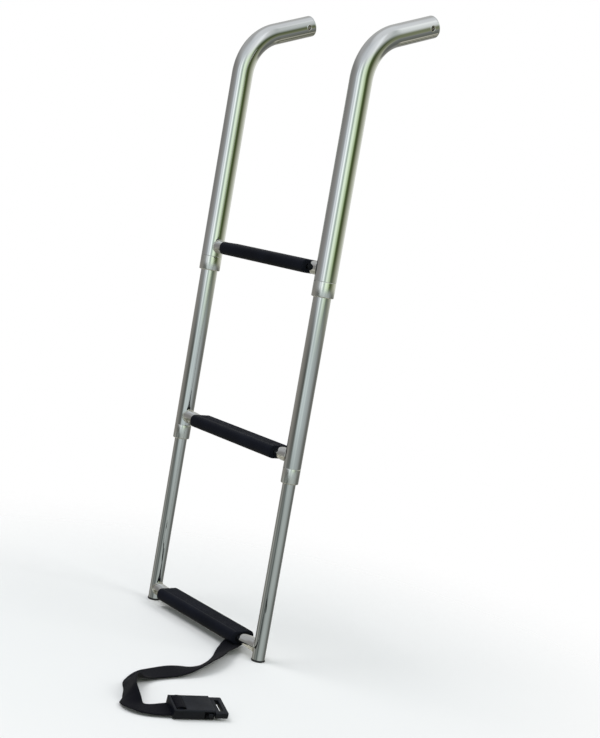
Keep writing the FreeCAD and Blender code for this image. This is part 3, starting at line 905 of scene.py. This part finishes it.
def cover_outline(half_depth, half_height):
    """A rounded rectangle's outline in (y, z), ribbed along its top and bottom flats."""
    points = []
    corner = COVER_CORNER
    corner_steps = 8
    centres = [(1, 1), (-1, 1), (-1, -1), (1, -1)]
    flat_steps = 96
    for k, (sy, sz) in enumerate(centres):
        for i in range(corner_steps + 1):
            turn = math.pi / 2 * (k + i / corner_steps)
            y = sy * (half_depth - corner) + corner * math.cos(turn)
            z = sz * (half_height - corner) + corner * math.sin(turn)
            points.append((y, z))
        if k in (0, 2):
            span = 2 * (half_depth - corner)
            for i in range(1, flat_steps):
                y = sy * (half_depth - corner) - sy * span * i / flat_steps
                z = sz * half_height
                if abs(y) < RIBBED_HALF and sz > 0:
                    z -= RIB_HEIGHT * (0.5 - 0.5 * math.cos(2 * math.pi * y / RIB_PITCH)) ** 2
                points.append((y, z))
    return points


def make_cover(level, body):
    """A moulded tread cover: fine ribs along its top, rounded corners and a lip at each end."""
    low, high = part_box(level + "_tread_cover")
    z0 = (low.z + high.z) / 2
    half_depth = (high.y - low.y) / 2
    half_height = (high.z - low.z) / 2
    outline = cover_outline(half_depth, half_height)
    inner = []
    for y, z in outline:
        turn = math.atan2(z / half_height, y / half_depth)
        inner_y = (FLAT_HALF_DEPTH + COVER_FIT) * math.cos(turn)
        inner.append((inner_y, (FLAT_HALF_HEIGHT + COVER_FIT) * math.sin(turn)))

    def ring(x, shape, shrink=0.0):
        made = []
        for y, z in shape:
            pull = 1 - shrink / math.hypot(y, z)
            made.append(Vector((x, RAIL_Y + y * pull, z0 + z * pull)))
        return made

    def rounded_end(end_x, inward):
        """Rings round a cover's end edge, from its full size out to its end face."""
        made = []
        edge_steps = 5
        for i in range(edge_steps + 1):
            turn = math.pi / 2 * i / edge_steps
            x = end_x + inward * COVER_END_EDGE * (1 - math.sin(turn))
            made.append(ring(x, outline, COVER_END_EDGE * (1 - math.cos(turn))))
        return made

    rings = [ring(low.x + COVER_END_INSET, inner)] + rounded_end(low.x, 1)[::-1]
    length_steps = 24
    span = high.x - low.x - 2 * COVER_END_EDGE
    for i in range(1, length_steps):
        rings.append(ring(low.x + COVER_END_EDGE + span * i / length_steps, outline))
    rings += rounded_end(high.x, -1) + [ring(high.x - COVER_END_INSET, inner)]
    bm = bmesh.new()
    skin_rings(bm, rings, closed_loop=True)
    node = level + "_tread_cover"
    finish_mesh(level + "_tread", bm, RUBBER, body, [node], COVER_SHARP)


def make_foot(side):
    """A foot plug: a flange with a rounded rim, and a fine groove under the tube's edge."""
    low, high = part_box("foot_cap_" + side)
    outer = (high.x - low.x) / 2
    bore = LOWER_R - WALL - 0.05 * MM
    flange = 2.2 * MM
    edge = 0.8 * MM
    chamfer = 0.3 * MM
    top = low.z + flange
    outline = [(bore, high.z), (bore, top), (outer - chamfer, top), (outer, top - chamfer)]
    corner_steps = 5
    for i in range(corner_steps + 1):
        turn = math.pi / 2 * i / corner_steps
        outline.append((outer - edge + edge * math.cos(turn), low.z + edge - edge * math.sin(turn)))
    outline.append((bore * 0.5, low.z))
    bm = bmesh.new()
    x = side_x(side)
    rings = []
    for radius, z in outline:
        rings.append(circle_points(Vector((x, RAIL_Y, z)), ALONG_X, ALONG_Y, radius, SMALL_STEPS))
    skin_rings(bm, rings)
    finish_mesh("foot_plug_" + side, bm, FOOT, "lower_section", ["foot_cap_" + side])


# ---------------------------------------------------------------- strap


def strap_points():
    return [Vector((x * MM, RAIL_Y + y * MM, FLOOR_Z + z * MM)) for x, y, z in STRAP_ROUTE_MM]


def route_line(name, points):
    """The points along one smooth NURBS curve through a route's control points."""
    data = bpy.data.curves.new(name, "CURVE")
    data.dimensions = "3D"
    data.resolution_u = 16
    spline = data.splines.new("NURBS")
    spline.points.add(len(points) - 1)
    for target, place in zip(spline.points, points):
        target.co = (*place, 1)
    spline.order_u = 3
    spline.use_endpoint_u = True
    curve = bpy.data.objects.new(name, data)
    bpy.context.scene.collection.objects.link(curve)
    graph = bpy.context.evaluated_depsgraph_get()
    mesh = bpy.data.meshes.new_from_object(curve.evaluated_get(graph))
    line = [v.co.copy() for v in mesh.vertices]
    bpy.data.meshes.remove(mesh)
    bpy.data.objects.remove(curve)
    return line


# How far the webbing's right-hand edge is raised in degrees, or lowered where it's negative, at
# shares of its length: it leans, lies down, stands nearly on its edge in the turn and lies down
LEAN_KEYS = [
    (0, 0), (0.2, -35), (0.3, -35), (0.48, 10), (0.56, 5), (0.74, -60), (0.8, -60), (0.9, 0),
    (1, -10),
]
WEB_SHARP = math.radians(60)


def lean_at(share):
    for (start, low), (end, high) in zip(LEAN_KEYS, LEAN_KEYS[1:]):
        if share <= end:
            return math.radians(low + (high - low) * ease((share - start) / (end - start)))
    return math.radians(LEAN_KEYS[-1][1])


def walk(line):
    """Each point of a line, with the heading there and the distance travelled."""
    steps = []
    travelled = 0.0
    for i, place in enumerate(line):
        if i:
            travelled += (place - line[i - 1]).length
        ahead = (line[min(i + 1, len(line) - 1)] - line[max(i - 1, 0)]).normalized()
        steps.append((place, ahead, travelled))
    return steps


def strap_frames(line):
    """The place, heading, width direction and distance travelled at each point of the strap's line."""
    steps = walk(line)
    length = steps[-1][2]
    frames = []
    for place, ahead, travelled in steps:
        right = ahead.cross(UP).normalized()
        lean = lean_at(travelled / length)
        width = right * math.cos(lean) + UP * math.sin(lean)
        width = (width - ahead * width.dot(ahead)).normalized()
        frames.append((place, ahead, width, travelled))
    return frames


def band_section(half_width, half_thickness):
    """A flat band's outline with rounded woven edges, as (across, through) pairs."""
    edge_steps = 4
    flat_steps = 6
    outline = []
    reach = half_width - half_thickness
    for sign in (1, -1):
        for i in range(edge_steps + 1):
            turn = -math.pi / 2 + math.pi * i / edge_steps
            across = sign * (reach + half_thickness * math.cos(turn))
            outline.append((across, sign * half_thickness * math.sin(turn)))
        for i in range(1, flat_steps):
            outline.append((sign * reach * (1 - 2 * i / flat_steps), sign * half_thickness))
    return outline


def lay_uvs(bm, rings, outline, distances):
    """UVs in metres: along the webbing by distance, and across it as its outline has it."""
    uv = bm.loops.layers.uv.new("UVMap")
    spot = {}
    for ring, distance in zip(rings, distances):
        for vertex, (across, _) in zip(ring, outline):
            spot[vertex] = (distance, across)
    for face in bm.faces:
        for loop in face.loops:
            loop[uv].uv = spot[loop.vert]


def band_mesh(bm, frames, half_width, half_thickness, keep_above=None):
    """A band of webbing along frames, with UVs in metres along and across it."""
    outline = band_section(half_width, half_thickness)
    rings = []
    for place, ahead, width, _ in frames:
        normal = ahead.cross(width).normalized()
        ring = [place + width * a + normal * t for a, t in outline]
        if keep_above is not None:
            lowest = min(p.z for p in ring)
            lift = max(keep_above - lowest, 0.0)
            ring = [p + UP * lift for p in ring]
        rings.append(ring)
    lay_uvs(bm, skin_rings(bm, rings), outline, [travelled for _, _, _, travelled in frames])


def make_strap():
    points = strap_points()
    line = route_line("strap_route", points)
    frames = strap_frames(line)
    floor_gap = 0.1 * MM
    bm = bmesh.new()
    band_mesh(bm, frames, STRAP_WIDTH / 2, STRAP_THICKNESS / 2, FLOOR_Z + floor_gap)
    nodes = ["strap_webbing"]
    strap = finish_mesh("strap_web", bm, WEBBING, "lower_section", nodes, WEB_SHARP)
    return strap, line


def make_strap_loop():
    """The webbing's turn round the flattened rung, inside the cover's pocket."""
    low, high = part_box("strap_loop")
    centre = (low + high) / 2
    steps = 48
    gap = 0.15 * MM
    depth = FLAT_HALF_DEPTH + gap + STRAP_THICKNESS / 2
    height = FLAT_HALF_HEIGHT + gap + STRAP_THICKNESS / 2
    outline = band_section((high.x - low.x) / 2, STRAP_THICKNESS / 2)
    bm = bmesh.new()
    rings = []
    for i in range(steps):
        turn = 2 * math.pi * i / steps
        place = Vector((centre.x, centre.y + depth * math.cos(turn), centre.z + height * math.sin(turn)))
        outward = Vector((0, math.cos(turn) / depth, math.sin(turn) / height)).normalized()
        rings.append([place + ALONG_X * a + outward * t for a, t in outline])
    made = skin_rings(bm, rings, closed_loop=True)
    turn_length = math.pi * (depth + height) / steps
    lay_uvs(bm, made, outline, [i * turn_length for i in range(steps)])
    finish_mesh("strap_turn", bm, WEBBING, "lower_section", ["strap_loop"], WEB_SHARP)


# ---------------------------------------------------------------- buckle


def buckle_point(u, v, w):
    """A point of the buckle's own frame, in millimetres, carried into the scene."""
    base = Vector((BUCKLE_BASE_MM[0] * MM, RAIL_Y + BUCKLE_BASE_MM[1] * MM, 0))
    base.z = FLOOR_Z + BUCKLE_LIFT + math.sin(BUCKLE_TILT) * PLUG_HALF_WIDTH
    turn = Matrix.Rotation(BUCKLE_HEADING, 4, "Z") @ Matrix.Rotation(BUCKLE_TILT, 4, "X")
    return base + turn @ Vector((u * MM, v * MM, w * MM))


def rounded_copy(node, name, body, width):
    """A CAD part's shape again, with moulded round edges, standing for that part."""
    bm = bmesh.new()
    bm.from_mesh(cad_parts[node].data)
    bmesh.ops.remove_doubles(bm, verts=bm.verts, dist=0.01 * MM)
    flat_angle = math.radians(2)
    bmesh.ops.dissolve_limit(bm, angle_limit=flat_angle, verts=bm.verts, edges=bm.edges)
    edge_angle = math.radians(28)
    sharp = [e for e in bm.edges if e.is_manifold and e.calc_face_angle(0) > edge_angle]
    bmesh.ops.bevel(
        bm, geom=sharp, offset=width, offset_type="OFFSET", segments=3, profile=0.5, affect="EDGES"
    )
    return finish_mesh(name, bm, PLASTIC, body, [node])


def make_adjuster_turn():
    """The webbing that comes up through the socket's first slot, over its bar and down the second."""
    line = route_line("adjuster_route", [buckle_point(u, 0, w) for u, w in ADJUSTER_ROUTE_MM])
    width = (buckle_point(0, 1, 0) - buckle_point(0, 0, 0)).normalized()
    frames = [(place, ahead, width, travelled) for place, ahead, travelled in walk(line)]
    bm = bmesh.new()
    band_mesh(bm, frames, STRAP_WIDTH / 2, ADJUSTER_HALF_THICKNESS)
    return finish_mesh("adjuster_web", bm, WEBBING, "lower_section", [], WEB_SHARP)


# ---------------------------------------------------------------- the whole scene


def dress_cad_nodes():
    """Gives each CAD node that still shows its own material."""
    wanted = {
        "guide_bush": NYLON,
        "slide_stop": NYLON,
    }
    for name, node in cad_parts.items():
        for part, material in wanted.items():
            if part in name:
                node.data.materials.clear()
                node.data.materials.append(material)


add_camera()
strap, strap_line = make_strap()
make_strap_loop()
for side in SIDES:
    make_upper_rail(side)
    make_tip_cap(side)
    make_hinge_bush(side)
    make_straight_rail(side, MID_R, "mid_rail_" + side, "mid_tube_" + side, "mid_section")
    make_straight_rail(side, LOWER_R, "lower_rail_" + side, "lower_tube_" + side, "lower_section")
    make_collar(side, UPPER_R, MID_R, "upper_collar_" + side, "upper_ring_" + side, "upper_section")
    make_collar(side, MID_R, LOWER_R, "mid_collar_" + side, "mid_ring_" + side, "mid_section")
    make_foot(side)
make_rivets("upper_collar_rivets", "upper_rivets", "upper_section")
make_rivets("mid_collar_rivets", "mid_rivets", "mid_section")
for level, rail_r in (("upper", UPPER_R), ("mid", MID_R), ("lower", LOWER_R)):
    body = level + "_section"
    make_rung(level, rail_r, body)
    make_welds(level, rail_r, body)
    make_cover(level, body)
dress_cad_nodes()

buckle_pieces = [make_adjuster_turn()]
for node, body, width in (
    ("buckle_socket", "lower_section", 0.7 * MM),
    ("buckle_plug", "lower_section", 0.6 * MM),
    ("buckle_prong_left", "prong_left", 0.4 * MM),
    ("buckle_prong_right", "prong_right", 0.4 * MM),
):
    buckle_pieces.append(rounded_copy(node, node.replace("buckle_", "moulded_"), body, width))

add_floor()
add_backdrop()
add_world()
add_lights()
